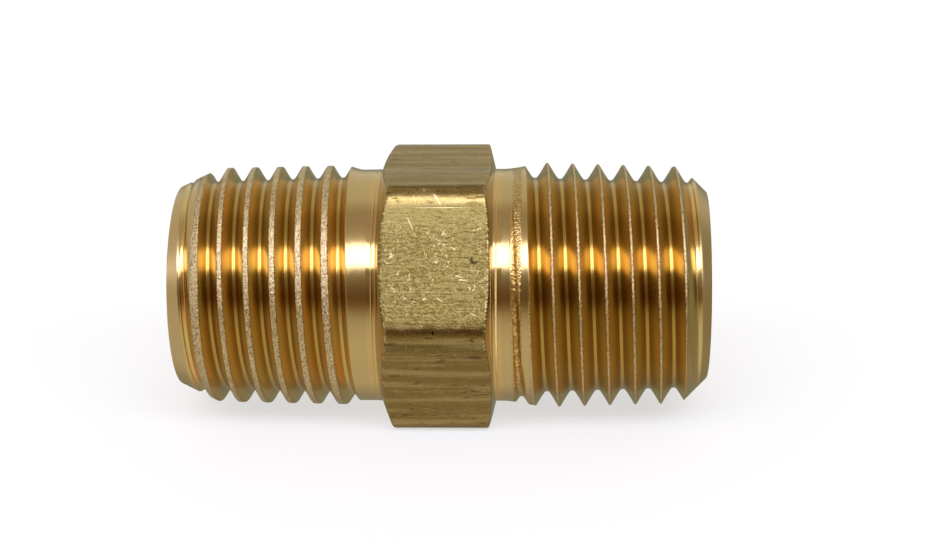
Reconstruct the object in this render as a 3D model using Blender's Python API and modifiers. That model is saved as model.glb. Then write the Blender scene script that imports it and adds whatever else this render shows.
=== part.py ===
"""Brass hex nipple with a 1/4-18 taper pipe thread on each end.

The real fitting is one piece of hexagon bar: both ends are turned down, the threads are cut and the bore is
drilled. The model is made the same way, by cutting a rounded hexagon bar with a turned envelope, two thread
groove cutters and a bore cutter. Units are metres, the axis is X, and the body lies on one hexagon flat.
"""

import math
from dataclasses import dataclass

import bmesh
import bpy
from mathutils import Matrix, Vector

MM = 0.001

# Hexagon
HEX_ACROSS_FLATS = 14.2875 * MM
HEX_WIDTH = 6.25 * MM
HEX_CORNER_RADIUS = 1.2 * MM
HEX_CORNER_SEGMENTS = 4

# Bore
BORE_DIAMETER = 7.9 * MM
BORE_MOUTH_CHAMFER = 0.3 * MM

# Thread, common to both ends
PITCH = 25.4 * MM / 18
THREAD_ANGLE = math.radians(60)
PITCH_TAPER = 1 / 16
ROOT_FLAT = 0.1 * MM
SMALLEST_LAND = 0.06 * MM
RUN_OUT_RISE = 0.45 * MM

# Cutting
STEPS_PER_TURN = 36
STEP_ANGLE = 2 * math.pi / STEPS_PER_TURN
STEP_LENGTH = PITCH / STEPS_PER_TURN
CUTTER_CLEARANCE = 0.5 * MM
RUN_OUT_CLEARANCE = 0.1 * MM


@dataclass(frozen=True)
class ThreadedEnd:
    """One turned and threaded end. Lengths run along the axis, outwards from the hexagon's shoulder."""

    name: str
    side: int  # -1 for the end at -X, +1 for the end at +X
    length: float
    neck_diameter: float
    neck_length: float
    slope_end: float  # where the slope from the neck reaches the thread's blank
    blank_diameter: float  # at the end face, before its chamfer
    blank_taper: float  # growth in diameter for each unit of length
    face_diameter: float  # flat of the end face
    end_chamfer_angle: float  # from the axis
    pitch_diameter: float  # at the end face
    groove_angle: float  # about the axis, where the groove's centre line would meet the shoulder
    run_out_turns: float  # where the groove starts to rise out of the blank, in turns from the shoulder
    hex_chamfer_angle: float  # of the hexagon on this side, from the plane of the shoulder
    hex_chamfer_diameter: float  # where that chamfer meets the shoulder

    def blank_radius(self, from_shoulder):
        """Radius of the turned blank under the thread."""
        return (self.blank_diameter + self.blank_taper * (self.length - from_shoulder)) / 2

    def turned_radius(self, from_shoulder):
        """Radius that the lathe leaves: the neck, the slope or the blank."""
        share = (from_shoulder - self.neck_length) / (self.slope_end - self.neck_length)
        if share >= 1:
            return self.blank_radius(from_shoulder)
        neck_radius = self.neck_diameter / 2
        return neck_radius + max(0, share) * (self.blank_radius(self.slope_end) - neck_radius)

    def root_radius(self, from_shoulder):
        """Radius at the bottom of the full groove."""
        pitch_radius = (self.pitch_diameter + PITCH_TAPER * (self.length - from_shoulder)) / 2
        return pitch_radius - (PITCH / 4 - ROOT_FLAT / 2) / math.tan(THREAD_ANGLE / 2)

    def groove_root(self, from_shoulder):
        """Radius at the bottom of the groove, which rises out of the blank towards the hexagon."""
        risen = max(0, self.run_out_turns - from_shoulder / PITCH)
        return self.root_radius(from_shoulder) + RUN_OUT_RISE * risen**2

    def chamfer_length(self):
        """Length of the end chamfer, up to where it meets the tapered blank."""
        rise = (self.blank_diameter - self.face_diameter) / 2
        return rise / (math.tan(self.end_chamfer_angle) - self.blank_taper / 2)


LEFT = ThreadedEnd(
    name="left",
    side=-1,
    length=11.35 * MM,
    neck_diameter=12.96 * MM,
    neck_length=1.2 * MM,
    slope_end=2.1 * MM,
    blank_diameter=13.1 * MM,
    blank_taper=0.035,
    face_diameter=11.1 * MM,
    end_chamfer_angle=math.radians(26),
    pitch_diameter=12.25 * MM,
    groove_angle=math.radians(301.5),
    run_out_turns=1.665,
    hex_chamfer_angle=math.radians(21),
    hex_chamfer_diameter=13.0 * MM,
)
RIGHT = ThreadedEnd(
    name="right",
    side=1,
    length=11.75 * MM,
    neck_diameter=13.0 * MM,
    neck_length=0.6 * MM,
    slope_end=2.9 * MM,
    blank_diameter=13.12 * MM,
    blank_taper=PITCH_TAPER,
    face_diameter=10.4 * MM,
    end_chamfer_angle=math.radians(45),
    pitch_diameter=12.126 * MM,
    groove_angle=math.radians(228.8),
    run_out_turns=1.772,
    hex_chamfer_angle=math.radians(14),
    hex_chamfer_diameter=13.3 * MM,
)

# Worked out from the sizes above. The origin is on the axis, at mid length.
OVERALL_LENGTH = LEFT.length + HEX_WIDTH + RIGHT.length
HEX_CENTRE = (LEFT.length - RIGHT.length) / 2
HEX_CORNER_REACH = (HEX_ACROSS_FLATS / 2 - HEX_CORNER_RADIUS) / math.cos(math.pi / 6) + HEX_CORNER_RADIUS

BRASS = {"color": (0.42, 0.31, 0.11, 1.0), "roughness": 0.28, "metallic": 1.0}


def clear_scene():
    """Removes every object that is already in the file."""
    for item in list(bpy.data.objects):
        bpy.data.objects.remove(item, do_unlink=True)


def add_collection(name):
    """A new collection in the scene."""
    collection = bpy.data.collections.new(name)
    bpy.context.scene.collection.children.link(collection)
    return collection


def add_material(name, finish):
    """A Principled material from a dictionary of its colour, roughness and metallic value."""
    material = bpy.data.materials.new(name)
    material.use_nodes = True
    shader = material.node_tree.nodes["Principled BSDF"]
    shader.inputs["Base Color"].default_value = finish["color"]
    shader.inputs["Roughness"].default_value = finish["roughness"]
    shader.inputs["Metallic"].default_value = finish["metallic"]
    return material


def add_object(name, bm, collection):
    """An object made of the bmesh, shaded smooth up to the angle between its facets."""
    mesh = bpy.data.meshes.new(name)
    bm.to_mesh(mesh)
    bm.free()
    mesh.shade_smooth()
    mesh.set_sharp_from_angle(angle=math.radians(20))
    item = bpy.data.objects.new(name, mesh)
    collection.objects.link(item)
    return item


def hide_cutter(item):
    """Marks an object that only cuts, so that it isn't a part."""
    item.hide_render = True
    item.display_type = "WIRE"


def at_side(end, from_shoulder):
    """Place on the axis of a point that lies this far out from the end's shoulder."""
    return HEX_CENTRE + end.side * (HEX_WIDTH / 2 + from_shoulder)


def make_bar(collection):
    """Hexagon bar with rounded corners, longer than the fitting, with a flat facing down."""
    bm = bmesh.new()
    corner_radius = HEX_ACROSS_FLATS / 2 / math.cos(math.pi / 6)
    length = OVERALL_LENGTH + 4 * CUTTER_CLEARANCE
    bmesh.ops.create_cone(
        bm, cap_ends=True, segments=6, radius1=corner_radius, radius2=corner_radius, depth=length
    )
    bmesh.ops.rotate(bm, verts=bm.verts, cent=(0, 0, 0), matrix=Matrix.Rotation(math.pi / 2, 3, "Y"))
    corners = [e for e in bm.edges if abs(e.verts[0].co.x - e.verts[1].co.x) > length / 2]
    bmesh.ops.bevel(
        bm,
        geom=corners,
        offset=HEX_CORNER_RADIUS * math.tan(math.pi / 6),
        offset_type="OFFSET",
        affect="EDGES",
        segments=HEX_CORNER_SEGMENTS,
        profile=0.5,
        material=-1,
    )
    return add_object("nipple_body", bm, collection)


def turn_profile(name, profile, collection):
    """Solid of revolution about X from (place, radius) points that run from +X to -X."""
    bm = bmesh.new()
    points = [bm.verts.new((place, radius, 0)) for place, radius in profile]
    for first, second in zip(points, points[1:]):
        bm.edges.new((first, second))
    item = add_object(name, bm, collection)
    item.rotation_euler.x = STEP_ANGLE / 2  # turns its facets half a step away from those of the grooves
    screw = item.modifiers.new("turn", "SCREW")
    screw.axis = "X"
    screw.angle = 2 * math.pi
    screw.steps = STEPS_PER_TURN
    screw.render_steps = STEPS_PER_TURN
    screw.use_merge_vertices = True
    screw.merge_threshold = 0.001 * MM
    screw.use_smooth_shade = True
    return item


def end_profile(end):
    """(distance out from the shoulder, radius) points of one end, from its face in to the hexagon."""
    chamfer_start = end.length - end.chamfer_length()
    outside = HEX_CORNER_REACH + CUTTER_CLEARANCE
    chamfer_rise = outside - end.hex_chamfer_diameter / 2
    return [
        (end.length, 0),
        (end.length, end.face_diameter / 2),
        (chamfer_start, end.blank_radius(chamfer_start)),
        (end.slope_end, end.blank_radius(end.slope_end)),
        (end.neck_length, end.neck_diameter / 2),
        (0, end.neck_diameter / 2),
        (0, end.hex_chamfer_diameter / 2),
        (-chamfer_rise * math.tan(end.hex_chamfer_angle), outside),
    ]


def make_envelope(collection):
    """Everything that the lathe leaves of the bar: end faces, chamfers, blanks, necks and shoulders."""
    left = [(at_side(LEFT, distance), radius) for distance, radius in end_profile(LEFT)]
    right = [(at_side(RIGHT, distance), radius) for distance, radius in end_profile(RIGHT)]
    return turn_profile("turned_envelope", right + left[::-1], collection)


def make_bore(collection):
    """Through bore with a chamfered mouth at each end. Past each face the mouth goes on at its angle."""
    radius = BORE_DIAMETER / 2
    half = OVERALL_LENGTH / 2
    inner = half - BORE_MOUTH_CHAMFER
    outer = half + CUTTER_CLEARANCE
    mouth = radius + outer - inner
    profile = [(outer, 0), (outer, mouth), (inner, radius), (-inner, radius), (-outer, mouth), (-outer, 0)]
    return turn_profile("bore", profile, collection)


def groove_section(place, angle, root):
    """Corners of the groove cutter's section: root flat, two flanks and straight sides above them."""
    half_root = ROOT_FLAT / 2
    half_mouth = (PITCH - SMALLEST_LAND) / 2
    flank = root + (half_mouth - half_root) / math.tan(THREAD_ANGLE / 2)
    top = flank + CUTTER_CLEARANCE
    outline = [
        (-half_mouth, top),
        (-half_mouth, flank),
        (-half_root, root),
        (half_root, root),
        (half_mouth, flank),
        (half_mouth, top),
    ]
    turn = Matrix.Rotation(angle, 3, "X")
    return [turn @ Vector((place + along, radius, 0)) for along, radius in outline]


def run_out_steps(end):
    """Whole steps of the helix from the shoulder out to where the rising groove is clear of the metal."""
    steps = math.floor(end.run_out_turns * STEPS_PER_TURN)
    while end.groove_root(steps * STEP_LENGTH) < end.turned_radius(steps * STEP_LENGTH) + RUN_OUT_CLEARANCE:
        steps -= 1
    return steps


def make_groove(end, collection):
    """Right-hand helical groove cutter. It follows the taper, and rises out of the blank at the hexagon."""
    last_step = math.ceil((end.length + PITCH) / STEP_LENGTH)
    shoulder_step = math.floor(end.groove_angle / STEP_ANGLE)
    shift = end.side * (shoulder_step - end.groove_angle / STEP_ANGLE) * STEP_LENGTH

    bm = bmesh.new()
    sections = []
    for step in range(run_out_steps(end), last_step + 1):
        from_shoulder = step * STEP_LENGTH + shift
        angle = (shoulder_step + end.side * step) * STEP_ANGLE
        corners = groove_section(at_side(end, from_shoulder), angle, end.groove_root(from_shoulder))
        sections.append([bm.verts.new(corner) for corner in corners])
    for near, far in zip(sections, sections[1:]):
        for i in range(len(near)):
            j = (i + 1) % len(near)
            bm.faces.new((near[i], near[j], far[j], far[i]))
    bm.faces.new(sections[0])
    bm.faces.new(sections[-1])
    bmesh.ops.recalc_face_normals(bm, faces=bm.faces)
    return add_object(f"{end.name}_groove", bm, collection)


def cut(body, tool, operation):
    """Adds one exact Boolean to the body."""
    boolean = body.modifiers.new(tool.name, "BOOLEAN")
    boolean.operation = operation
    boolean.solver = "EXACT"
    boolean.object = tool
    hide_cutter(tool)


def main():
    """Builds the fitting."""
    clear_scene()
    parts = add_collection("hex_nipple")
    cutters = add_collection("hex_nipple_cutters")
    body = make_bar(parts)
    body.data.materials.append(add_material("brass", BRASS))
    cut(body, make_envelope(cutters), "INTERSECT")
    for end in (LEFT, RIGHT):
        cut(body, make_groove(end, cutters), "DIFFERENCE")
    cut(body, make_bore(cutters), "DIFFERENCE")


main()
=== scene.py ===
"""Looks of a brass hex nipple: a fine mesh, procedural finishes and a soft studio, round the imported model."""

import logging
import math
from dataclasses import dataclass
from enum import Enum
from typing import Any, Sequence, Union

import bmesh
import bpy
from mathutils import Matrix, Vector


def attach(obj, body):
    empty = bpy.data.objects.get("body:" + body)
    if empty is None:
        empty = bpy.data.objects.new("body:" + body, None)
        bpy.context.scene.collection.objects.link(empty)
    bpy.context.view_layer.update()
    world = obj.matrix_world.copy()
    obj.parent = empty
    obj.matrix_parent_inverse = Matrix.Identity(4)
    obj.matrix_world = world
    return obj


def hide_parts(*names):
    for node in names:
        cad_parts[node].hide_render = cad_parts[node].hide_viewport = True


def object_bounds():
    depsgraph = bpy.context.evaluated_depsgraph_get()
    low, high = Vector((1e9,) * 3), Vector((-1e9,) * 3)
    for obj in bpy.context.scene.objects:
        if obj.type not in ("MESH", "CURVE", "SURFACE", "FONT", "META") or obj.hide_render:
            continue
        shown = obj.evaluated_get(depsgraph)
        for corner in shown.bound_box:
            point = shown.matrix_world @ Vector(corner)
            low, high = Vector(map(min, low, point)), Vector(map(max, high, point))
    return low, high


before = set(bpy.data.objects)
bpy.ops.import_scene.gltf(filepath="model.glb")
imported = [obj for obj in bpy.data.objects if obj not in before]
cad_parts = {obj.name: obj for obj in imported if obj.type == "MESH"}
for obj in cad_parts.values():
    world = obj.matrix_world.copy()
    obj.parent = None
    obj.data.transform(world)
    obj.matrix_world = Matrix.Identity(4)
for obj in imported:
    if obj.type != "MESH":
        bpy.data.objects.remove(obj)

LOG = logging.getLogger("hex_nipple")
CAD_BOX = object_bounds()

Point = tuple[float, float]
Colour = tuple[float, float, float]

MM = 0.001
CUT_TOLERANCE = 0.00001
MERGE_DISTANCE = 0.001
ZONE_SLACK = 0.01
RING_DRIFT = 0.012
TURN = 2 * math.pi
SIXTH = math.pi / 3
SURFACE_MAP = "surface"  # UV map in millimetres: along the axis, and round the fitting
LAND = "land"  # vertex attribute: height of the groove's surface over the blank, in millimetres
TORN = "torn"  # vertex attribute: 1 where the die has torn the blank, 0 where it is still as turned
BEADED = "beaded"  # vertex attribute: 1 where the die has dragged the brass as it first bites
RIM = "rim"  # vertex attribute: distance in from the hexagon's chamfers, in millimetres
CORNER = "corner"  # vertex attribute: distance from the nearest corner of the hexagon, in millimetres


def smooth_least(a: float, b: float, reach: float) -> float:
    """Smaller of two heights, with a round of the given reach where they cross.

    Args:
        a: First height.
        b: Second height.
        reach: Difference in height over which the round acts.

    Returns:
        The smaller height, slightly less near the crossing.
    """
    share = max(0.0, reach - abs(a - b)) / reach
    return min(a, b) - share * share * reach / 4


def rounded(corners: Sequence[tuple[float, float, float]], segments: int) -> list[Point]:
    """Polyline whose corners are eased by short arcs.

    Args:
        corners: (x, radius, cut) of each corner. The cut is how far from the corner its arc starts.
        segments: Number of segments in each arc.

    Returns:
        The points of the eased polyline. A corner with no cut stays one point.
    """
    points: list[Point] = []
    for i, (x, radius, cut) in enumerate(corners):
        here = Vector((x, radius))
        if not cut:
            points.append((x, radius))
            continue
        before = here + (Vector(corners[i - 1][:2]) - here).normalized() * cut
        after = here + (Vector(corners[i + 1][:2]) - here).normalized() * cut
        for step in range(segments + 1):
            t = step / segments
            eased = before * (1 - t) ** 2 + here * 2 * t * (1 - t) + after * t * t
            points.append((eased.x, eased.y))
    return points


class Zone(Enum):
    """Zones of the fitting that wear their own finish, in the order of the piece's material slots."""

    DRAWN = 0
    TURNED = 1
    THREAD = 2
    DRILLED = 3


@dataclass(frozen=True)
class Layers:
    """Data layers of the fitting's bmesh that its finishes read."""

    land: Any
    torn: Any
    beaded: Any
    rim: Any
    corner: Any
    surface: Any

    @classmethod
    def add_to(cls, bm: bmesh.types.BMesh) -> "Layers":
        """Adds the layers.

        Args:
            bm: An empty bmesh.

        Returns:
            The layers.
        """
        numbers = bm.verts.layers.float
        names = (LAND, TORN, BEADED, RIM, CORNER)
        return cls(*[numbers.new(name) for name in names], bm.loops.layers.uv.new(SURFACE_MAP))


@dataclass(frozen=True)
class ThreadedEnd:
    """One turned and threaded end. Lengths run out from the hexagon's shoulder, in millimetres."""

    name: str
    side: int
    shoulder: float
    length: float
    neck_radius: float
    neck_length: float
    slope_end: float
    blank_radius: float
    blank_taper: float
    face_radius: float
    chamfer: float
    pitch_radius: float
    groove_angle: float
    run_out_start: float
    hex_chamfer: float
    hex_chamfer_radius: float
    hex_edge: float
    ring: float
    torn_start: float
    torn_share: float
    beaded: Point

    pitch: float = 25.4 / 18
    half_angle: float = math.radians(30)
    taper: float = 1 / 32
    root_flat: float = 0.1
    root_round: float = 0.2
    root_lift: float = 0.15
    crest_round: float = 0.035
    run_out_rise: float = 0.45
    stub: float = 0.5
    tip: float = 0.06
    face_edge: float = 0.05
    ring_place: float = 0.2
    ring_half: float = 0.06
    ring_foot: float = 0.04
    ring_top: float = 0.02
    shoulder_foot: float = 0.05
    shoulder_top: float = 0.04
    join: float = 0.08
    mouth_segments: int = 3
    torn_stop: float = 1.3
    torn_fade: float = 0.12
    steps: int = 144

    def blank(self, out: float) -> float:
        """Radius of the turned blank, from the neck over the slope to the tapered blank.

        Args:
            out: Distance out from the shoulder.

        Returns:
            The blank's radius there, with its end chamfer.
        """
        full = self.blank_radius + self.blank_taper * (self.length - out)
        top = self.blank_radius + self.blank_taper * (self.length - self.slope_end)
        share = (out - self.neck_length) / (self.slope_end - self.neck_length)
        share = max(0.0, min(1.0, share))
        eased = share * share * (3 - 2 * share)
        slope = self.neck_radius + (top - self.neck_radius) * (share + eased) / 2
        body = full if out > self.slope_end else slope
        cone = self.face_radius + (self.length - out) * math.tan(self.chamfer)
        return smooth_least(body, cone, 2 * self.crest_round)

    def groove(self, out: float, offset: float) -> float:
        """Radius of the thread groove's surface, whose root is round and a little higher than a sharp one.

        Args:
            out: Distance of the groove's centre line from the shoulder.
            offset: Distance from that centre line, along the axis.

        Returns:
            The groove's radius. It rises out of the blank where the thread runs out.
        """
        slope = 1 / math.tan(self.half_angle)
        depth = (self.pitch / 4 - self.root_flat / 2) * slope
        root = self.pitch_radius + self.taper * (self.length - out) - depth
        risen = max(0.0, self.run_out_start - out) / self.pitch
        beyond = max(0.0, abs(offset) - self.root_flat / 2)
        flank = math.hypot(beyond * slope, self.root_round) - self.root_round + self.root_lift
        return root + self.run_out_rise * risen**2 + flank

    def offsets(self) -> list[float]:
        """Places across one pitch where the thread's surface has its points.

        Returns:
            Distances from the groove's centre line, closest at the root and at the crest's edges.
        """
        root = (0, 0.05, 0.09, 0.13, 0.2)
        flank = (0.32, 0.44, 0.55, 0.64, 0.71)
        crest = (0.77, 0.82, 0.86, 0.9, 0.94, 0.97, 1)
        side = [share * self.pitch / 2 for share in root + flank + crest]
        return [-place for place in reversed(side[1:])] + side

    def place(self, out: float) -> float:
        """Place on the axis of a point this far out from the shoulder."""
        return self.shoulder + self.side * out

    def shape(self, vert: bmesh.types.BMVert, layers: Layers) -> None:
        """Gives a point of the sheet its radius, and notes how far the groove lies over the blank.

        Args:
            vert: A point of the sheet. Its angle and its place on the axis stay.
            layers: Layers of the bmesh.
        """
        angle = math.atan2(vert.co.z, vert.co.y)
        centre = self.shoulder + self.pitch * (angle - self.groove_angle) / TURN
        offset = (vert.co.x - centre + self.pitch / 2) % self.pitch - self.pitch / 2
        out = self.side * (vert.co.x - self.shoulder)
        blank = self.blank(out)
        groove = self.groove(out - self.side * offset, offset)
        radius = smooth_least(groove, blank, self.crest_round)
        vert.co = Vector((vert.co.x, radius * math.cos(angle), radius * math.sin(angle)))
        vert[layers.land] = groove - blank
        inside = min(out - self.torn_start, self.length - self.torn_stop - out)
        vert[layers.torn] = max(0.0, min(1.0, inside / self.torn_fade)) * self.torn_share
        inside = min(out - self.beaded[0], self.beaded[1] - out)
        vert[layers.beaded] = max(0.0, min(1.0, inside / self.torn_fade))

    def spin_sheet(self, bm: bmesh.types.BMesh) -> list[bmesh.types.BMVert]:
        """Spins one pitch of points round the axis as a helix, and repeats the turn over the whole thread.

        Args:
            bm: The bmesh, which the sheet is added to.

        Returns:
            The points of the sheet, at unit radius. Its turns are merged.
        """
        ends = (self.place(self.stub), self.place(self.length))
        low = min(ends) - self.pitch
        turns = math.ceil((max(ends) - min(ends)) / self.pitch) + 2
        start = Matrix.Rotation(self.groove_angle + TURN * (low - self.shoulder) / self.pitch, 3, "X")
        line = [bm.verts.new(start @ Vector((low + offset, 1, 0))) for offset in self.offsets()]
        edges = [bm.edges.new(pair) for pair in zip(line, line[1:])]
        known = set(bm.verts) - set(line)
        bmesh.ops.spin(
            bm,
            geom=line + edges,
            cent=(0, 0, 0),
            axis=(1, 0, 0),
            dvec=(self.pitch / self.steps, 0, 0),
            angle=TURN,
            steps=self.steps,
            use_merge=False,
        )
        band = [v for v in bm.verts if v not in known]
        faces = list({face for vert in band for face in vert.link_faces})
        for turn in range(1, turns):
            copy = bmesh.ops.duplicate(bm, geom=band + faces)["geom"]
            moved = [item for item in copy if isinstance(item, bmesh.types.BMVert)]
            bmesh.ops.translate(bm, verts=moved, vec=(turn * self.pitch, 0, 0))
        sheet = [v for v in bm.verts if v not in known]
        bmesh.ops.remove_doubles(bm, verts=sheet, dist=MERGE_DISTANCE)
        return [v for v in bm.verts if v not in known]

    def trim(self, bm: bmesh.types.BMesh, sheet: set[bmesh.types.BMVert], out: float, outwards: int) -> list:
        """Cuts the sheet square to the axis.

        Args:
            bm: The bmesh.
            sheet: The sheet's points.
            out: Distance of the cut from the shoulder.
            outwards: +1 to clear what lies further out, -1 to clear what lies nearer the hexagon.

        Returns:
            The edges of the ring that the cut leaves.
        """
        faces = {face for vert in sheet for face in vert.link_faces}
        edges = {edge for face in faces for edge in face.edges}
        cut = bmesh.ops.bisect_plane(
            bm,
            geom=list(sheet) + list(edges) + list(faces),
            dist=CUT_TOLERANCE,
            plane_co=(self.place(out), 0, 0),
            plane_no=(self.side * outwards, 0, 0),
            clear_outer=True,
        )["geom_cut"]
        return [item for item in cut if isinstance(item, bmesh.types.BMEdge)]

    def mouth(self, bore: "Bore") -> list[Point]:
        """Profile from the end chamfer over the end face and into the bore.

        Args:
            bore: The bore through the fitting.

        Returns:
            (distance out, radius) points.
        """
        start = self.face_radius + self.tip * math.tan(self.chamfer)
        corners = [
            (self.length - self.tip, start, 0),
            (self.length, self.face_radius, self.face_edge),
            (self.length, bore.radius + bore.mouth_chamfer, self.face_edge),
            (self.length - bore.mouth_chamfer, bore.radius, self.face_edge),
            (self.length - bore.lead, bore.radius, 0),
        ]
        return rounded(corners, self.mouth_segments)

    def build(self, bm: bmesh.types.BMesh, layers: Layers, bore: "Bore") -> tuple[list, list]:
        """Builds the thread, the end face and this end's half of the bore.

        Args:
            bm: The bmesh, which the end is added to.
            layers: Layers of the bmesh.
            bore: The bore through the fitting.

        Returns:
            The edges of the ring at the neck, and those of the ring deep in the bore.
        """
        others = set(bm.verts)
        self.spin_sheet(bm)
        self.trim(bm, set(bm.verts) - others, self.stub, -1)
        self.trim(bm, set(bm.verts) - others, self.length - self.tip, 1)
        sheet = set(bm.verts) - others
        for vert in sheet:
            self.shape(vert, layers)
        for face in {face for vert in sheet for face in vert.link_faces}:
            face.material_index = Zone.THREAD.value
        open_edges = [e for e in bm.edges if e.is_boundary and e.verts[0] in sheet]
        middle = self.place(self.length / 2)
        neck = [e for e in open_edges if self.side * (e.verts[0].co.x - middle) < 0]
        ring = [e for e in open_edges if self.side * (e.verts[0].co.x - middle) > 0]
        stations = self.mouth(bore)
        for (out, radius), (next_out, next_radius) in zip(stations, stations[1:]):
            grown = bmesh.ops.extrude_edge_only(bm, edges=ring)["geom"]
            verts = [item for item in grown if isinstance(item, bmesh.types.BMVert)]
            ring = [
                item
                for item in grown
                if isinstance(item, bmesh.types.BMEdge) and item.verts[0] in verts and item.verts[1] in verts
            ]
            shrink = next_radius / radius
            bmesh.ops.scale(bm, verts=verts, vec=(1, shrink, shrink))
            bmesh.ops.translate(bm, verts=verts, vec=(self.side * (next_out - out), 0, 0))
            inside = next_radius <= bore.radius + ZONE_SLACK
            for face in {face for edge in ring for face in edge.link_faces}:
                face.material_index = (Zone.DRILLED if inside else Zone.TURNED).value
        return neck, ring

    def hex_side(self) -> list[tuple[float, float, float]]:
        """Corners of the profile from the neck to the hexagon's chamfer.

        Returns:
            (place, radius, cut) of each corner.
        """
        corners = [
            (self.stub - self.join, self.neck_radius, 0),
            (self.ring_place + self.ring_half, self.neck_radius, self.ring_foot),
            (self.ring_place, self.neck_radius + self.ring, self.ring_top),
            (self.ring_place - self.ring_half, self.neck_radius, self.ring_foot),
            (0, self.neck_radius, self.shoulder_foot),
            (0, self.hex_chamfer_radius, self.shoulder_top),
        ]
        return [(self.place(out), radius, cut) for out, radius, cut in corners]

    def hex_edge_corner(self, reach: float) -> tuple[float, float, float]:
        """Corner of the profile between the hexagon's chamfer and the bar.

        Args:
            reach: The bar's radius at this angle.

        Returns:
            The corner's (place, radius, cut).
        """
        rise = (reach - self.hex_chamfer_radius) * math.tan(self.hex_chamfer)
        return (self.place(-rise), reach, self.hex_edge)


@dataclass(frozen=True)
class Hexagon:
    """The wrench body: a drawn hexagon bar with a turned chamfer on each side. Sizes are in millimetres."""

    across_flats: float
    across_corners: float
    steps: int = 180
    corner_steps: int = 12
    stations_across: int = 12
    arc_segments: int = 4

    def corner_radius(self) -> float:
        """Radius of the bar's rounded corners, from its size across flats and across corners."""
        stretch = 1 / math.cos(SIXTH / 2)
        return (self.across_flats / 2 * stretch - self.across_corners / 2) / (stretch - 1)

    def outline(self, step: int) -> tuple[float, float, float]:
        """One point of the bar's outline.

        Args:
            step: Number of the point round the outline. Point 0 is the middle of the corner at +Y.

        Returns:
            The point's angle about the axis, its distance from it, and its distance round the outline.
        """
        per_corner = self.steps // 6
        corner = round(step / per_corner)
        offset = step - corner * per_corner
        arc = self.corner_radius()
        reach = (self.across_flats / 2 - arc) / math.cos(SIXTH / 2)
        half = self.corner_steps // 2
        bend = max(-1.0, min(1.0, offset / half)) * SIXTH / 2
        angle = math.atan2(arc * math.sin(bend), reach + arc * math.cos(bend))
        radius = math.hypot(arc * math.sin(bend), reach + arc * math.cos(bend))
        along = arc * bend
        if abs(offset) > half:
            start = self.across_flats / 2 * math.tan(SIXTH / 2 - abs(angle))
            share = (abs(offset) - half) / (per_corner / 2 - half)
            left = start * (1 - share)
            along = math.copysign(abs(along) + start * share, offset)
            angle = math.copysign(SIXTH / 2 - math.atan2(left, self.across_flats / 2), offset)
            radius = math.hypot(left, self.across_flats / 2)
        side = 2 * (arc * SIXTH / 2 + reach * math.sin(SIXTH / 2))
        return corner * SIXTH + angle, radius, corner * side + along

    def profile(self, ends: Sequence[ThreadedEnd], reach: float) -> list[Point]:
        """Profile of the hexagon, from neck to neck.

        Args:
            ends: The threaded ends, left and right.
            reach: The bar's radius at this angle.

        Returns:
            (place, radius) points.
        """
        first, last = ends
        start, stop = first.hex_edge_corner(reach), last.hex_edge_corner(reach)
        inner = (start[0] + first.hex_edge, stop[0] - last.hex_edge)
        count = self.stations_across
        across = [inner[0] + (inner[1] - inner[0]) * i / count for i in range(1, count)]
        flat = [(x, reach, 0) for x in across]
        return rounded([*first.hex_side(), start, *flat, stop, *last.hex_side()[::-1]], self.arc_segments)

    def build(self, bm: bmesh.types.BMesh, layers: Layers, ends: Sequence[ThreadedEnd]) -> list:
        """Spins a straight line into a tube, and gives each of its points its place on the hexagon.

        Args:
            bm: The bmesh, which the hexagon is added to.
            layers: Layers of the bmesh.
            ends: The threaded ends, left and right.

        Returns:
            The open edges at the two necks.
        """
        others = set(bm.verts)
        count = len(self.profile(ends, self.across_flats / 2))
        line = [bm.verts.new((i, 1, 0)) for i in range(count)]
        edges = [bm.edges.new(pair) for pair in zip(line, line[1:])]
        bmesh.ops.spin(
            bm,
            geom=line + edges,
            cent=(0, 0, 0),
            axis=(1, 0, 0),
            dvec=(0, 0, 0),
            angle=TURN,
            steps=self.steps,
            use_merge=True,
        )
        tube = set(bm.verts) - others
        columns = [self.outline(step) for step in range(self.steps)]
        profiles = [self.profile(ends, reach) for _, reach, _ in columns]
        edge_places = [[end.hex_edge_corner(reach)[0] for end in ends] for _, reach, _ in columns]
        for vert in tube:
            station = round(vert.co.x)
            step = round(math.atan2(vert.co.z, vert.co.y) / TURN * self.steps) % self.steps
            angle = columns[step][0]
            x, radius = profiles[step][station]
            vert.co = Vector((x, radius * math.cos(angle), radius * math.sin(angle)))
            vert[layers.rim] = min(x - edge_places[step][0], edge_places[step][1] - x)
            vert[layers.corner] = self.from_corner(step)
        necks = [end.neck_radius + 2 * end.ring + ZONE_SLACK for end in ends]
        for face in {face for vert in tube for face in vert.link_faces}:
            middle = face.calc_center_median()
            reach = math.hypot(middle.y, middle.z)
            turned = reach < max(necks) or max(vert[layers.rim] for vert in face.verts) < -2 * ZONE_SLACK
            face.material_index = (Zone.TURNED if turned else Zone.DRAWN).value
        return [edge for edge in bm.edges if edge.is_boundary and edge.verts[0] in tube]

    def from_corner(self, step: int) -> float:
        """Distance round the outline from the nearest corner's middle.

        Args:
            step: Number of the point round the outline.

        Returns:
            The distance.
        """
        per_corner = self.steps // 6
        corner = round(step / per_corner) * per_corner
        return abs(self.outline(step)[2] - self.outline(corner)[2])


@dataclass(frozen=True)
class Bore:
    """The drilled hole through the fitting. Sizes are in millimetres."""

    radius: float = 3.95
    mouth_chamfer: float = 0.3
    lead: float = 9.0


@dataclass(frozen=True)
class Stroke:
    """One placed mark: its middle, half its length and width in millimetres, and its turn in degrees."""

    place: Point
    size: Point
    turn: float = 0.0


Term = Union["Field", bpy.types.NodeSocket, float]


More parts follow.
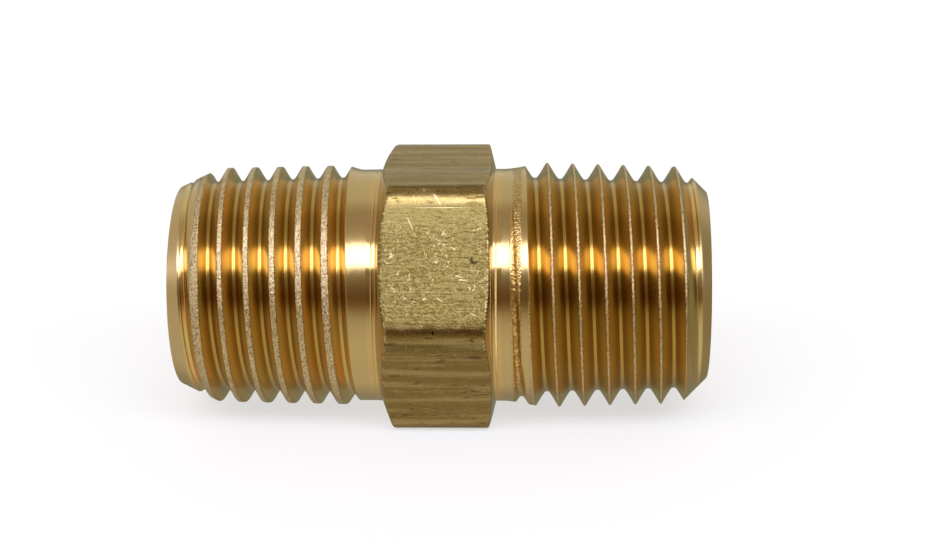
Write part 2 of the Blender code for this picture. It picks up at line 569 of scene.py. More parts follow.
class Field:
    """A number that varies over a surface: one shader socket, with Python's arithmetic."""

    def __init__(self, bench: "Bench", socket: bpy.types.NodeSocket) -> None:
        """Wraps a socket of a node on this bench."""
        self.bench = bench
        self.socket = socket

    def maths(self, operation: str, *terms: Term) -> "Field":
        """Adds a Math node of this operation, on these terms."""
        inputs = dict(enumerate(terms))
        return self.bench.field("ShaderNodeMath", {"operation": operation}, inputs, "Value")

    def __add__(self, other: Term) -> "Field":
        """Sum."""
        return self.maths("ADD", self, other)

    def __sub__(self, other: Term) -> "Field":
        """Difference."""
        return self.maths("SUBTRACT", self, other)

    def __rsub__(self, other: Term) -> "Field":
        """Difference from a number."""
        return self.maths("SUBTRACT", other, self)

    def __mul__(self, other: Term) -> "Field":
        """Product."""
        return self.maths("MULTIPLY", self, other)

    __radd__ = __add__
    __rmul__ = __mul__

    def largest(self, other: Term) -> "Field":
        """The larger of this and another."""
        return self.maths("MAXIMUM", self, other)

    def absolute(self) -> "Field":
        """The size of this, without its sign."""
        return self.maths("ABSOLUTE", self)

    def ease(self, low: float, high: float) -> "Field":
        """Smooth step between two values.

        Args:
            low: Value where the step is 0. It may be the larger.
            high: Value where the step is 1.

        Returns:
            The step, from 0 to 1.
        """
        settings = {"interpolation_type": "SMOOTHSTEP"}
        flip = low > high
        inputs = {"Value": self, "From Min": min(low, high), "From Max": max(low, high)}
        inputs |= {"To Min": 1.0 if flip else 0.0, "To Max": 0.0 if flip else 1.0}
        return self.bench.field("ShaderNodeMapRange", settings, inputs, "Result")


class Bench:
    """Makes the nodes of one material or world."""

    def __init__(self, tree: bpy.types.NodeTree) -> None:
        """Starts from an empty tree."""
        self.tree = tree
        tree.nodes.clear()

    def make(self, kind: str, settings: dict[str, Any], inputs: dict[Any, Any]) -> bpy.types.Node:
        """Adds a node.

        Args:
            kind: The node's type.
            settings: Its properties, set first. "stops" holds a ramp's (place, colour) stops.
            inputs: Value or link of each socket, by its name or number.

        Returns:
            The node.
        """
        node = self.tree.nodes.new(kind)
        for name, value in settings.items():
            if name == "stops":
                self.set_stops(node.color_ramp, value)
            else:
                setattr(node, name, value)
        for name, value in inputs.items():
            socket = node.inputs[name]
            if isinstance(value, Field):
                self.tree.links.new(value.socket, socket)
            elif isinstance(value, bpy.types.NodeSocket):
                self.tree.links.new(value, socket)
            elif socket.type == "RGBA":
                socket.default_value = (*value, 1.0)
            else:
                socket.default_value = value
        return node

    def set_stops(self, ramp: bpy.types.ColorRamp, stops: Sequence[tuple[float, Colour]]) -> None:
        """Gives a new ramp its stops.

        Args:
            ramp: The ramp.
            stops: Place and colour of each stop, in order.
        """
        while len(ramp.elements) < len(stops):
            ramp.elements.new(1.0)
        for element, (place, colour) in zip(ramp.elements, stops):
            element.position = place
            element.color = (*colour, 1.0)

    def field(self, kind: str, settings: dict[str, Any], inputs: dict[Any, Any], output: str) -> Field:
        """Adds a node and wraps one of its outputs."""
        return Field(self, self.make(kind, settings, inputs).outputs[output])

    def blend(self, factor: Term, low: Any, high: Any) -> bpy.types.NodeSocket:
        """Colour between two others. A factor of 0 gives the low one."""
        inputs = {"Factor": factor, 6: low, 7: high}
        return self.make("ShaderNodeMix", {"data_type": "RGBA"}, inputs).outputs[2]

    def stretched(self, vector: Any, scale: Sequence[float], turn: float = 0.0) -> bpy.types.NodeSocket:
        """A vector turned about Z and then stretched.

        Args:
            vector: The vector's socket.
            scale: Factor along each axis, after the turn.
            turn: Angle in degrees.

        Returns:
            The socket of the new vector.
        """
        if turn:
            inputs = {"Vector": vector, "Rotation": (0, 0, math.radians(turn))}
            vector = self.make("ShaderNodeMapping", {}, inputs).outputs[0]
        inputs = {0: vector, 1: tuple(scale)}
        return self.make("ShaderNodeVectorMath", {"operation": "MULTIPLY"}, inputs).outputs[0]

    def millimetres(self) -> bpy.types.NodeSocket:
        """Object coordinates in millimetres."""
        source = self.make("ShaderNodeTexCoord", {}, {}).outputs["Object"]
        return self.stretched(source, (1 / MM, 1 / MM, 1 / MM))

    def surface(self) -> bpy.types.NodeSocket:
        """Millimetres along the axis and round the fitting."""
        return self.make("ShaderNodeUVMap", {"uv_map": SURFACE_MAP}, {}).outputs[0]

    def attribute(self, name: str) -> Field:
        """A vertex attribute."""
        return self.field("ShaderNodeAttribute", {"attribute_name": name}, {}, "Fac")

    def noise(self, vector: Any, scale: Sequence[float], detail: float) -> Field:
        """Noise about 0.5.

        Args:
            vector: Coordinates in millimetres.
            scale: Patches in each millimetre, along each axis.
            detail: Finer layers of noise.

        Returns:
            The noise.
        """
        inputs = {"Vector": self.stretched(vector, scale), "Scale": 1.0, "Detail": detail}
        return self.field("ShaderNodeTexNoise", {}, inputs, "Fac")

    def marks(self, vector: Any, size: Point, turn: float, share: float, place: Point = (0, 0)) -> Field:
        """Scattered short marks, such as scratches or dents.

        Args:
            vector: Surface coordinates in millimetres.
            size: Length and width of a cell, which holds one mark about half as long and wide.
            turn: Angle of the marks from the axis, in degrees.
            share: Share of the cells that hold a mark.
            place: Shift of the pattern, so that two layers differ.

        Returns:
            1 in the middle of a mark, 0 outside.
        """
        scale = (1 / size[0], 1 / size[1], 1.0)
        cells = self.make(
            "ShaderNodeVectorMath",
            {"operation": "ADD"},
            {0: self.stretched(vector, scale, turn), 1: (*place, 0.0)},
        )
        settings = {"voronoi_dimensions": "2D"}
        voronoi = self.make("ShaderNodeTexVoronoi", settings, {"Vector": cells.outputs[0], "Scale": 1.0})
        chance = self.field("ShaderNodeSeparateColor", {}, {0: voronoi.outputs["Color"]}, "Red")
        near = Field(self, voronoi.outputs["Distance"]).ease(0.3, 0.05)
        return near * chance.ease(share + 0.02, share - 0.02)

    def stroke(self, vector: Any, mark: Stroke) -> Field:
        """One mark at a given place.

        Args:
            vector: Surface coordinates in millimetres.
            mark: The mark's place, size and turn.

        Returns:
            1 in the middle of the mark, 0 outside.
        """
        inputs = {0: vector, 1: (*mark.place, 0.0)}
        moved = self.make("ShaderNodeVectorMath", {"operation": "SUBTRACT"}, inputs).outputs[0]
        local = self.stretched(moved, (1 / mark.size[0], 1 / mark.size[1], 0.0), -mark.turn)
        return self.field("ShaderNodeVectorMath", {"operation": "LENGTH"}, {0: local}, "Value").ease(1.0, 0.5)

    def warped(self, vector: Any, scale: float, reach: float) -> bpy.types.NodeSocket:
        """A vector shifted by noise, so that what is drawn on it curls.

        Args:
            vector: Coordinates in millimetres.
            scale: Patches of noise in each millimetre.
            reach: Largest shift in millimetres.

        Returns:
            The socket of the new vector.
        """
        inputs = {"Vector": vector, "Scale": scale, "Detail": 1.0}
        shift = self.make("ShaderNodeTexNoise", {}, inputs).outputs["Color"]
        inputs = {0: shift, 1: (2 * reach, 2 * reach, 0.0), 2: vector}
        return self.make("ShaderNodeVectorMath", {"operation": "MULTIPLY_ADD"}, inputs).outputs[0]

    def towards(self, mm: Any, side: Sequence[float], reach: Point) -> Field:
        """Mask of the flat that faces one side.

        Args:
            mm: Object coordinates in millimetres.
            side: The side's direction.
            reach: Distances from the axis, that way, where the mask starts and is full.

        Returns:
            1 on that flat, 0 beyond it.
        """
        inputs = {0: mm, 1: tuple(side)}
        along = self.field("ShaderNodeVectorMath", {"operation": "DOT_PRODUCT"}, inputs, "Value")
        return along.ease(*reach)

    def turning_lines(self, vector: Any, count: float) -> Field:
        """Fine rings round the axis that a lathe tool leaves.

        Args:
            vector: Object coordinates in millimetres.
            count: Lines in each millimetre.

        Returns:
            Noise about 0.5 that changes quickly along the axis and outwards, and slowly round it.
        """
        parts = self.make("ShaderNodeSeparateXYZ", {}, {0: vector}).outputs
        across = self.stretched(vector, (0, 1, 1))
        inputs = {0: across}
        radius = self.make("ShaderNodeVectorMath", {"operation": "LENGTH"}, inputs).outputs["Value"]
        place = self.make("ShaderNodeCombineXYZ", {}, {0: parts["X"], 1: radius}).outputs[0]
        around = self.stretched(vector, (0.0, RING_DRIFT, RING_DRIFT))
        both = self.make("ShaderNodeVectorMath", {"operation": "ADD"}, {0: place, 1: around}).outputs[0]
        return self.noise(both, (count, count, count), 2.0)

    def bump(self, height: Field, depth: float, normal: Any = None) -> bpy.types.NodeSocket:
        """Normal of a surface with this relief.

        Args:
            height: The relief, where 1 is one depth high.
            depth: Depth in millimetres.
            normal: Normal of the surface below it, if that has a relief of its own.

        Returns:
            The normal's socket.
        """
        inputs = {"Strength": 1.0, "Distance": depth * MM, "Height": height}
        if normal is not None:
            inputs["Normal"] = normal
        return self.make("ShaderNodeBump", {}, inputs).outputs[0]

    def metal(self, colour: Any, roughness: Any, normal: Any, edge: Colour = (1.0, 1.0, 1.0)) -> None:
        """Ends the material with a metal shader.

        Args:
            colour: Colour of the metal.
            roughness: Its roughness.
            normal: Its normal.
            edge: Tint of what it mirrors at a grazing angle.
        """
        inputs = {"Base Color": colour, "Metallic": 1.0, "Roughness": roughness, "Normal": normal}
        inputs["Specular Tint"] = edge
        shader = self.make("ShaderNodeBsdfPrincipled", {}, inputs)
        self.make("ShaderNodeOutputMaterial", {}, {"Surface": shader.outputs[0]})


def new_material(name: str, look: Colour) -> tuple[bpy.types.Material, Bench]:
    """Starts a material.

    Args:
        name: Its name.
        look: Its colour in the viewport.

    Returns:
        The material, with no nodes, and the bench for its nodes.
    """
    material = bpy.data.materials.new(name)
    material.use_nodes = True
    material.diffuse_color = (*look, 1.0)
    return material, Bench(material.node_tree)


@dataclass(frozen=True)
class DrawnBar:
    """Satin surface of the drawn bar: streaks, speckle, scratches, nicked edges and burnished corners, with
    painted shade on the front upper flat and a painted highlight near its upper corner.
    """

    metal: Colour = (0.36, 0.27, 0.11)
    tarnish: Colour = (0.19, 0.13, 0.042)
    brown: Colour = (0.2, 0.12, 0.028)
    line: Colour = (0.11, 0.066, 0.02)
    grey_band: Colour = (0.25, 0.2, 0.15)
    # The next two colours are the front upper flat's speckle, darkened as painted shade.
    speck: Colour = (0.2, 0.156, 0.053)
    shaded_hollow: Colour = (0.085, 0.06, 0.014)
    bright: Colour = (0.62, 0.51, 0.27)
    pit: Colour = (0.03, 0.018, 0.006)
    roughness: float = 0.43
    burnished: float = 0.26
    streak_depth: float = 0.006
    grain_depth: float = 0.016
    scratch_depth: float = 0.006
    knocked_shaded_side: tuple[float, float, float] = (0.0, -0.866, 0.5)
    brown_flat_side: tuple[float, float, float] = (0.0, -0.866, -0.5)
    upper_side: tuple[float, float, float] = (0.0, 0.0, 1.0)
    side_reach: Point = (5.9, 6.7)
    grey_band_place: Stroke = Stroke((0.3, 12.5), (6.0, 0.5))
    upper_line: Stroke = Stroke((0.0, 14.72), (7.0, 0.2))
    lower_line: Stroke = Stroke((0.0, 22.75), (7.0, 0.32))
    pit_mark: Stroke = Stroke((-0.15, 22.15), (0.1, 0.13))
    dent: Stroke = Stroke((2.0, 18.55), (0.26, 0.24))
    dent_floor: Stroke = Stroke((2.06, 18.48), (0.24, 0.2))
    long_scratches: tuple[Stroke, ...] = (
        Stroke((0.05, 15.5), (0.4, 0.045), 56.0),
        Stroke((-0.12, 15.35), (0.22, 0.05), 50.0),
        Stroke((-1.42, 16.6), (0.42, 0.04), 64.0),
        Stroke((0.2, 20.6), (0.3, 0.04), 28.0),
        Stroke((1.45, 19.6), (0.34, 0.05), 12.0),
        Stroke((1.2, 19.4), (0.3, 0.045), 18.0),
        Stroke((-0.7, 15.0), (0.16, 0.08), 70.0),
        Stroke((1.95, 21.3), (0.24, 0.045), 24.0),
        Stroke((0.2, 15.85), (1.75, 0.03)),
        Stroke((1.0, 15.6), (1.0, 0.025)),
    )

    def material(self) -> bpy.types.Material:
        """Builds the finish.

        Returns:
            The material.
        """
        material, bench = new_material("drawn_brass", self.metal)
        mm, surface = bench.millimetres(), bench.surface()
        rim, corner = bench.attribute(RIM), bench.attribute(CORNER)
        fine = bench.noise(surface, (0.45, 10.0, 1.0), 3.0)
        broad = bench.noise(surface, (0.1, 1.7, 1.0), 2.0)
        wavy = bench.noise(bench.warped(surface, 0.8, 0.25), (0.7, 4.0, 1.0), 3.0)
        mottle = bench.noise(mm, (1.4, 1.4, 1.4), 4.0)
        coarse = bench.noise(surface, (3.6, 6.0, 1.0), 4.0)
        grain = (coarse + bench.noise(surface, (9.0, 11.0, 1.0), 1.0)) * 0.5
        burnish = corner.ease(0.95, 0.6)
        # The front upper flat: more nicks and scratches, and darker as painted shade.
        knocked_and_shaded = bench.towards(mm, self.knocked_shaded_side, self.side_reach)
        nicks = grain.ease(0.5, 0.62) * rim.absolute().ease(0.16, 0.02) * (knocked_and_shaded * 0.6 + 0.4)
        cuts = self.scratches(bench, mm, surface, corner) * (knocked_and_shaded * 0.8 + 0.2)
        cuts = cuts.largest(nicks)
        smears = wavy.ease(0.55, 0.68) * mottle.ease(0.44, 0.56)
        tone = (grain - 0.5) * 0.9 + (fine - 0.5) * 0.5 + (broad - 0.5) * 0.9 + (mottle - 0.5) * 0.5
        colour = bench.blend((tone + 0.25 - smears * 0.25).ease(-0.2, 0.6), self.tarnish, self.metal)
        # Browner on the flat that faces forward and down, and partly on the top flat.
        brown_flats = bench.towards(mm, self.brown_flat_side, self.side_reach)
        brown_flats = brown_flats.largest(bench.towards(mm, self.upper_side, self.side_reach) * 0.55)
        colour = bench.blend(brown_flats * (0.8 - (tone + 0.1).ease(0.0, 0.3) * 0.5), colour, self.brown)
        around = bench.field("ShaderNodeSeparateXYZ", {}, {0: surface}, "Y")
        # Painted highlight: the front upper flat is lighter towards its upper corner.
        painted_top_light = around.ease(17.6, 15.6) * around.ease(14.0, 15.0)
        speckle = grain.ease(0.39, 0.6) + (mottle - 0.5) * 1.2 + (fine - 0.5) * 1.6
        speckle = (speckle + painted_top_light * 0.7).ease(-0.2, 1.2)
        shaded_speckle = bench.blend(speckle, self.shaded_hollow, self.speck)
        # Painted shade: the front upper flat, away from its corners, takes the darker speckled colour.
        colour = bench.blend(knocked_and_shaded * corner.ease(0.2, 0.9) * 0.9, colour, shaded_speckle)
        colour = bench.blend(self.corner_dark_lines(bench, surface) * (1 - tone), colour, self.line)
        # A greyer band along the top flat.
        grey_band = bench.stroke(surface, self.grey_band_place) * wavy.ease(0.35, 0.55)
        colour = bench.blend(grey_band * 0.6, colour, self.grey_band)
        colour = bench.blend(brown_flats * broad.ease(0.5, 0.64) * 0.5, colour, self.metal)
        colour = bench.blend(brown_flats * smears * 0.9, colour, self.line)
        colour = bench.blend(cuts, colour, self.bright)
        pits = self.dents(bench, surface)
        colour = bench.blend(pits, colour, self.pit)
        normal = bench.bump((fine + broad * 2.5) * (1 - burnish * 0.8), self.streak_depth)
        relief = grain * (knocked_and_shaded * 0.7 + 0.3) * (1 - burnish * 0.5)
        normal = bench.bump(relief - smears * 0.6, self.grain_depth, normal)
        normal = bench.bump(1 - cuts - pits * 2.0, self.scratch_depth, normal)
        rough = self.roughness + (mottle - 0.5) * 0.2 - burnish * (self.roughness - self.burnished)
        bench.metal(colour, rough, normal)
        return material

    def scratches(self, bench: Bench, mm: Any, surface: Any, corner: Field) -> Field:
        """Curled flecks along the middle of the flats, and a few straight scratches.

        Args:
            bench: Bench of the material.
            mm: Object coordinates in millimetres.
            surface: Surface coordinates in millimetres.
            corner: Distance from the nearest corner in millimetres.

        Returns:
            1 on a scratch, 0 beside it.
        """
        curled = bench.warped(surface, 3.2, 0.2)
        flecks = bench.marks(curled, (0.5, 0.14), 62.0, 0.2)
        for size, turn, share, place in (
            ((0.46, 0.15), -30.0, 0.2, (3.3, 8.1)),
            ((0.8, 0.12), 12.0, 0.2, (7.9, 1.7)),
            ((0.3, 0.16), 84.0, 0.24, (5.2, 4.4)),
        ):
            flecks = flecks.largest(bench.marks(curled, size, turn, share, place))
        patches = bench.noise(mm, (0.6, 0.6, 0.6), 2.0).ease(0.36, 0.56) * corner.ease(0.9, 2.6)
        flecks = flecks * patches * bench.noise(mm, (2.4, 2.4, 2.4), 1.0).ease(0.36, 0.6)
        straight = bench.marks(surface, (1.0, 0.05), -66.0, 0.01, (1.4, 9.2))
        straight = straight.largest(bench.marks(surface, (1.6, 0.05), 4.0, 0.02, (6.1, 2.9)))
        for mark in self.long_scratches:
            straight = straight.largest(bench.stroke(surface, mark))
        return (flecks * 0.65).largest(straight * 0.6)

    def corner_dark_lines(self, bench: Bench, surface: Any) -> Field:
        """Dark lines along two corners of the bar.

        Args:
            bench: Bench of the material.
            surface: Surface coordinates in millimetres.

        Returns:
            1 in the middle of a line, 0 beside it.
        """
        upper = bench.stroke(surface, self.upper_line) * 0.7
        return upper.largest(bench.stroke(surface, self.lower_line) * 0.5)

    def dents(self, bench: Bench, surface: Any) -> Field:
        """Dark pits, and the dark rim of one round dent.

        Args:
            bench: Bench of the material.
            surface: Surface coordinates in millimetres.

        Returns:
            1 in a pit, 0 beside it.
        """
        pit = bench.stroke(surface, self.pit_mark)
        rim = bench.stroke(surface, self.dent) * (1 - bench.stroke(surface, self.dent_floor))
        scattered = bench.marks(surface, (0.5, 0.32), 20.0, 0.005, (2.2, 6.6))
        return pit.largest(rim.ease(0.05, 0.4) * 0.8).largest(scattered)


@dataclass(frozen=True)
class TurnedBrass:
    """Bright turned surface, with the tool's fine lines: necks, chamfers, shoulders and end faces."""

    name: str = "turned_brass"
    metal: Colour = (0.53, 0.38, 0.165)
    shade: Colour = (0.47, 0.32, 0.122)
    edge: Colour = (1.0, 1.0, 1.0)
    roughness: float = 0.09
    roughness_swing: float = 0.08
    line_count: float = 14.0
    line_share: float = 0.6
    line_depth: float = 0.0008
    patch_count: float = 0.9

    def material(self) -> bpy.types.Material:
        """Builds the finish.

        Returns:
            The material.
        """
        material, bench = new_material(self.name, self.metal)
        mm = bench.millimetres()
        lines = bench.turning_lines(mm, self.line_count)
        mottle = bench.noise(mm, (self.patch_count,) * 3, 3.0)
        tone = lines * self.line_share + mottle * (1 - self.line_share)
        colour = bench.blend(tone, self.shade, self.metal)
        rough = self.roughness + (lines - 0.5) * self.roughness_swing
        bench.metal(colour, rough, bench.bump(lines, self.line_depth), self.edge)
        return material


@dataclass(frozen=True)
class DrilledBore(TurnedBrass):
    """Drilled wall, with coarser lines and duller than the turned surfaces."""

    name: str = "drilled_brass"
    metal: Colour = (0.52, 0.36, 0.14)
    shade: Colour = (0.38, 0.24, 0.08)
    edge: Colour = (0.7, 0.45, 0.2)
    roughness: float = 0.32
    roughness_swing: float = 0.2
    line_count: float = 5.0
    line_share: float = 0.5
    line_depth: float = 0.004
    patch_count: float = 1.5


@dataclass(frozen=True)
class CutThread:
    """Thread: polished flanks in amber and olive rings, painted shade at the groove's root, bright turned rims,
    and torn, speckled crests.
    """

    amber: Colour = (0.64, 0.375, 0.125)
    olive: Colour = (0.5, 0.41, 0.175)
    # Painted shade: darker brass at the bottom of the groove.
    root: Colour = (0.37, 0.235, 0.06)
    turned: Colour = (0.46, 0.34, 0.15)
    crest: Colour = (0.62, 0.49, 0.29)
    speck: Colour = (0.26, 0.18, 0.08)
    sawn: Colour = (0.47, 0.345, 0.17)
    dragged: Colour = (0.34, 0.21, 0.06)
    roughness: float = 0.165
    crest_roughness: float = 0.32
    dragged_roughness: float = 0.22
    sawn_roughness: float = 0.3
    sawn_reach: Point = (13.95, 14.1)
    line_depth: float = 0.0035
    ridge_depth: float = 0.007
    tear_depth: float = 0.042
    bead_depth: float = 0.06

    def material(self) -> bpy.types.Material:
        """Builds the finish.

        Returns:
            The material.
        """
        material, bench = new_material("cut_thread", self.amber)
        mm = bench.millimetres()
        land = bench.attribute(LAND)
        tear = bench.noise(mm, (7.0, 7.0, 7.0), 3.0)
        grain = bench.noise(mm, (12.0, 12.0, 12.0), 2.0)
        lines = bench.turning_lines(mm, 12.0)
        patches = bench.noise(mm, (0.5, 0.5, 0.5), 2.0)
        rings = bench.turning_lines(mm, 4.2) * 0.5 + lines * 0.25 + patches * 0.25
        flank = bench.blend(rings.ease(0.4, 0.6), self.amber, self.olive)
        # Painted shade: the deepest part of the groove takes the darker root colour.
        flank = bench.blend(land.ease(-0.3, -0.75), flank, self.root)
        outer = land.ease(-0.02, 0.01)
        torn = (land + (tear - 0.5) * 0.3).ease(-0.08, -0.01) * bench.attribute(TORN)
        colour = bench.blend(outer, flank, self.turned)
        along = bench.field("ShaderNodeSeparateXYZ", {}, {0: mm}, "X").absolute()
        sawn = outer * along.ease(*self.sawn_reach)
        colour = bench.blend(sawn * (tear.ease(0.35, 0.6) * 0.6 + 0.4), colour, self.sawn)
        colour = bench.blend(torn, colour, bench.blend(grain.ease(0.36, 0.6), self.speck, self.crest))
        rough = self.roughness + (lines - 0.5) * 0.12 + torn * (self.crest_roughness - self.roughness)
        rough = rough + sawn * (self.sawn_roughness - self.roughness)
        beaded = bench.attribute(BEADED)
        colour = bench.blend(beaded * tear.ease(0.62, 0.4), colour, self.dragged)
        rough = rough + beaded * (self.dragged_roughness - self.roughness)
        ridges = (bench.turning_lines(mm, 4.5) + grain * 0.3) * outer * (1 - torn.largest(sawn))
        normal = bench.bump(lines, self.line_depth)
        normal = bench.bump(ridges, self.ridge_depth, normal)
        normal = bench.bump(beaded * tear, self.bead_depth, normal)
        normal = bench.bump(torn * (tear + grain), self.tear_depth, normal)
        bench.metal(colour, rough, normal)
        return material


@dataclass(frozen=True)
class Studio:
    """Pale floor, soft light all round with one bright softbox, and the camera. Sizes are in millimetres."""

    lens: float = 81.92
    sensor: float = 36.0
    camera_along: float = 6.577
    camera_distance: float = 119.8
    camera_elevation: float = 20.9
    aim: tuple[float, float, float] = (1.431, 0.196, 0.512)
    floor_size: float = 900.0
    floor_front: float = 55.0
    floor_colour: Colour = (0.3, 0.3, 0.3)
    floor_glow: float = 0.63
    backdrop: Colour = (1.0, 1.0, 1.0)
    softbox: Colour = (5.9, 5.9, 6.9)
    left_side: Colour = (0.85, 0.8, 0.7)
    right_side: Colour = (0.38, 0.34, 0.22)
    left_reach: Point = (-0.45, -0.75)
    right_reach: Point = (0.6, 0.9)
    side_share: float = 0.8

    def place_camera(self) -> bpy.types.Object:
        """Aims the camera, level with the fitting's axis.

        Returns:
            The camera.
        """
        tilt = math.radians(self.camera_elevation)
        distance = self.camera_distance
        place = Vector((self.camera_along, -distance * math.cos(tilt), distance * math.sin(tilt)))
        forward = (Vector(self.aim) - place).normalized()
        right = (Vector((1, 0, 0)) - forward * forward.x).normalized()
        up = right.cross(forward)
        turn = Matrix((right, up, -forward)).transposed().to_4x4()
        data = bpy.data.cameras.new("camera")
        data.lens = self.lens
        data.sensor_width = self.sensor
        data.sensor_fit = "HORIZONTAL"
        data.clip_start = 0.001
        data.clip_end = 10.0
        camera = bpy.data.objects.new("camera", data)
        camera.matrix_world = Matrix.Translation(place * MM) @ turn
        bpy.context.scene.collection.objects.link(camera)
        bpy.context.scene.camera = camera
        return camera

    def lay_floor(self, height: float) -> bpy.types.Object:
        """Lays the floor, a pale table lit from below.

        Args:
            height: Height of its top in metres.

        Returns:
            The floor.
        """
        bm = bmesh.new()
        bmesh.ops.create_grid(bm, x_segments=1, y_segments=1, size=self.floor_size * MM / 2)
        back = (self.floor_size / 2 - self.floor_front) * MM
        bmesh.ops.translate(bm, verts=bm.verts, vec=(0, back, height))
        floor = mesh_object("floor", bm)
        material, bench = new_material("pale_floor", self.floor_colour)
        inputs = {"Base Color": self.floor_colour, "Roughness": 0.9, "Specular IOR Level": 0.0}
        inputs |= {"Emission Color": self.backdrop, "Emission Strength": self.floor_glow}
        shader = bench.make("ShaderNodeBsdfPrincipled", {}, inputs)
        bench.make("ShaderNodeOutputMaterial", {}, {"Surface": shader.outputs[0]})
        floor.data.materials.append(material)
        floor.visible_glossy = False
        return floor

    def light(self) -> None:
        """Lights the studio all round the fitting's axis, with plain light at both sides."""
        world = bpy.data.worlds.new("studio")
        world.use_nodes = True
        bpy.context.scene.world = world
        bench = Bench(world.node_tree)
        direction = bench.make("ShaderNodeTexCoord", {}, {}).outputs["Generated"]
        parts = bench.make("ShaderNodeSeparateXYZ", {}, {0: direction}).outputs
        height = Field(bench, parts["Z"])
        front = Field(bench, parts["Y"]) * -1.0
        elevation = height.maths("ARCTAN2", height, front) * (1 / TURN) + 0.5
        stops = [(0.5 + angle / 360, colour) for angle, colour in self.surroundings()]
        ramp = bench.make("ShaderNodeValToRGB", {"stops": stops}, {"Fac": elevation})
        across = Field(bench, parts["X"])
        rightwards = across.ease(*self.right_reach) * self.side_share
        leftwards = across.ease(*self.left_reach) * self.side_share
        colour = bench.blend(rightwards, ramp.outputs["Color"], self.right_side)
        colour = bench.blend(leftwards, colour, self.left_side)
        seen = bench.field("ShaderNodeLightPath", {}, {}, "Is Camera Ray")
        colour = bench.blend(seen, colour, self.backdrop)
        shader = bench.make("ShaderNodeBackground", {}, {"Color": colour, "Strength": 1.0})
        bench.make("ShaderNodeOutputWorld", {}, {"Surface": shader.outputs[0]})

    def surroundings(self) -> list[tuple[float, Colour]]:
        """Light round the axis, as (elevation in degrees from the camera's side, colour) stops.

        Returns:
            The stops, from behind the floor, under the fitting, up the front and over to the back.
        """
        return [
            (-178.0, (0.3, 0.31, 0.22)),
            (-150.0, (0.24, 0.24, 0.15)),
            (-118.0, (0.5, 0.45, 0.33)),
            (-92.0, (0.86, 0.8, 0.68)),
            (-45.0, (0.94, 0.89, 0.75)),
            (-24.0, (0.86, 0.79, 0.68)),
            (-12.0, (0.68, 0.62, 0.5)),
            (-4.0, (0.44, 0.34, 0.22)),
            (3.0, (0.24, 0.14, 0.06)),
            (11.0, (0.21, 0.12, 0.055)),
            (20.0, (0.28, 0.2, 0.12)),
            (36.5, (0.42, 0.36, 0.25)),
            (39.5, self.softbox),
            (59.0, self.softbox),
            (63.0, (0.8, 0.72, 0.62)),
            (80.0, (0.6, 0.51, 0.42)),
            (98.0, (0.6, 0.51, 0.41)),
            (116.0, (0.92, 0.89, 0.8)),
            (165.0, (0.92, 0.9, 0.77)),
            (180.0, (0.4, 0.4, 0.3)),
        ]


def mesh_object(name: str, bm: bmesh.types.BMesh) -> bpy.types.Object:
    """Makes an object at the origin.

    Args:
        name: Its name.
        bm: The bmesh of its mesh, which is freed.

    Returns:
        The object.
    """
    mesh = bpy.data.meshes.new(name)
    bm.to_mesh(mesh)
    bm.free()
    item = bpy.data.objects.new(name, mesh)
    bpy.context.scene.collection.objects.link(item)
    return item


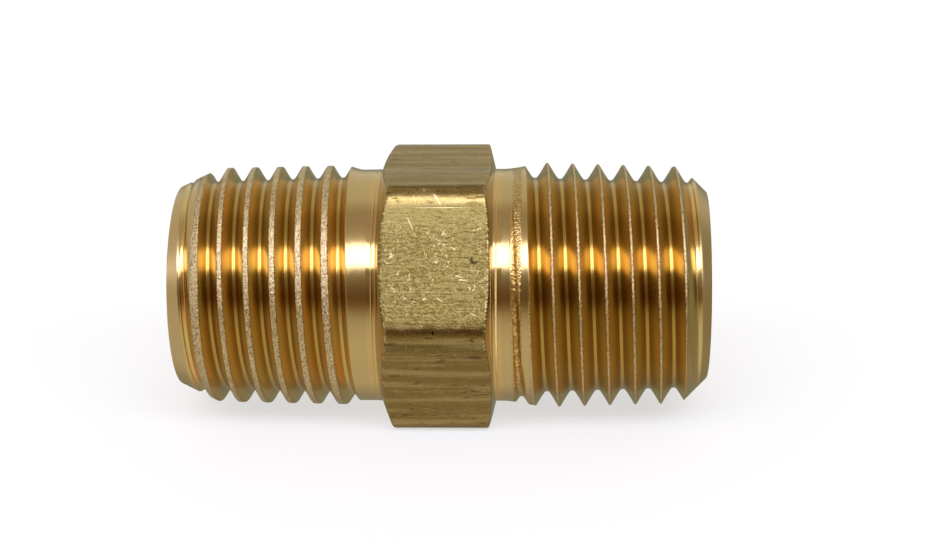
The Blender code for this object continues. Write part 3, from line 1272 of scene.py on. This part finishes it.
@dataclass(frozen=True)
class Nipple:
    """The whole fitting, one piece of brass."""

    hexagon: Hexagon
    left: ThreadedEnd
    right: ThreadedEnd
    bore: Bore = Bore()

    def build(self) -> bpy.types.Object:
        """Builds the hexagon and both ends, joins them into one closed mesh, and dresses it.

        Returns:
            The fitting.
        """
        bm = bmesh.new()
        layers = Layers.add_to(bm)
        open_necks = self.hexagon.build(bm, layers, (self.left, self.right))
        LOG.info("hexagon: %d faces", len(bm.faces))
        deep: list = []
        for end in (self.left, self.right):
            before = len(bm.faces)
            neck, ring = end.build(bm, layers, self.bore)
            hex_neck = [e for e in open_necks if end.side * (e.verts[0].co.x - end.shoulder) > 0]
            joined = bmesh.ops.bridge_loops(bm, edges=neck + hex_neck)["faces"]
            for face in joined:
                face.material_index = Zone.TURNED.value
            deep += ring
            LOG.info("%s end: %d faces", end.name, len(bm.faces) - before)
        for face in bmesh.ops.bridge_loops(bm, edges=deep)["faces"]:
            face.material_index = Zone.DRILLED.value
        bmesh.ops.recalc_face_normals(bm, faces=bm.faces)
        self.map_surface(bm, layers)
        bmesh.ops.scale(bm, verts=bm.verts, vec=(MM, MM, MM))
        for face in bm.faces:
            face.smooth = True
        open_edges = sum(1 for edge in bm.edges if not edge.is_manifold)
        LOG.info("fitting: %d points, %d faces, %d open edges", len(bm.verts), len(bm.faces), open_edges)
        piece = mesh_object("nipple", bm)
        for finish in (DrawnBar(), TurnedBrass(), CutThread(), DrilledBore()):
            piece.data.materials.append(finish.material())
        return piece

    def map_surface(self, bm: bmesh.types.BMesh, layers: Layers) -> None:
        """Maps every face in millimetres, along the axis and round the fitting.

        Args:
            bm: The bmesh, in millimetres.
            layers: Layers of the bmesh.
        """
        round_about = self.hexagon.across_flats / 2
        for face in bm.faces:
            middle = face.calc_center_median()
            centre = math.atan2(middle.z, middle.y) % TURN
            for loop in face.loops:
                angle = math.atan2(loop.vert.co.z, loop.vert.co.y)
                swing = (angle - centre + math.pi) % TURN - math.pi
                loop[layers.surface].uv = (loop.vert.co.x, round_about * (centre + swing))


def make_nipple() -> Nipple:
    """Sets the fitting's sizes. Its axis is X and its origin is at mid length.

    Returns:
        The fitting, at the frame's size.
    """
    low, high = (Vector(corner) / MM for corner in CAD_BOX)
    left_length, hex_width = 11.35, 6.25
    left_shoulder = low.x + left_length
    right_shoulder = left_shoulder + hex_width
    left = ThreadedEnd(
        name="left",
        side=-1,
        shoulder=left_shoulder,
        length=left_length,
        neck_radius=6.48,
        neck_length=1.2,
        slope_end=2.1,
        blank_radius=6.55,
        blank_taper=0.0175,
        face_radius=5.55,
        chamfer=math.radians(26),
        pitch_radius=6.125,
        groove_angle=math.radians(301.5),
        run_out_start=2.35,
        hex_chamfer=math.radians(21),
        hex_chamfer_radius=6.5,
        hex_edge=0.2,
        ring=0.03,
        torn_start=2.1,
        torn_share=1.0,
        beaded=(0.0, 0.0),
    )
    right = ThreadedEnd(
        name="right",
        side=1,
        shoulder=right_shoulder,
        length=high.x - right_shoulder,
        neck_radius=6.5,
        neck_length=0.6,
        slope_end=2.9,
        blank_radius=6.56,
        blank_taper=1 / 32,
        face_radius=5.2,
        chamfer=math.radians(45),
        pitch_radius=6.063,
        groove_angle=math.radians(228.8),
        run_out_start=2.5,
        hex_chamfer=math.radians(14),
        hex_chamfer_radius=6.65,
        hex_edge=0.1,
        ring=0.0,
        torn_start=1.95,
        torn_share=0.9,
        beaded=(1.0, 1.6),
    )
    hexagon = Hexagon(across_flats=high.z - low.z, across_corners=high.y - low.y)
    return Nipple(hexagon, left, right)


def main() -> None:
    """Builds the studio and the fitting."""
    logging.basicConfig(level=logging.INFO, format="%(name)s: %(message)s")
    scene = bpy.context.scene
    scene.view_settings.view_transform = "Standard"
    studio = Studio()
    studio.place_camera()
    studio.lay_floor(CAD_BOX[0][2])
    studio.light()
    LOG.info("studio: camera, floor and light")
    piece = make_nipple().build()
    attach(piece, "root")
    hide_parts("nipple_body")
    LOG.info("%s: rides on root", piece.name)


if __name__ == "__main__":
    main()
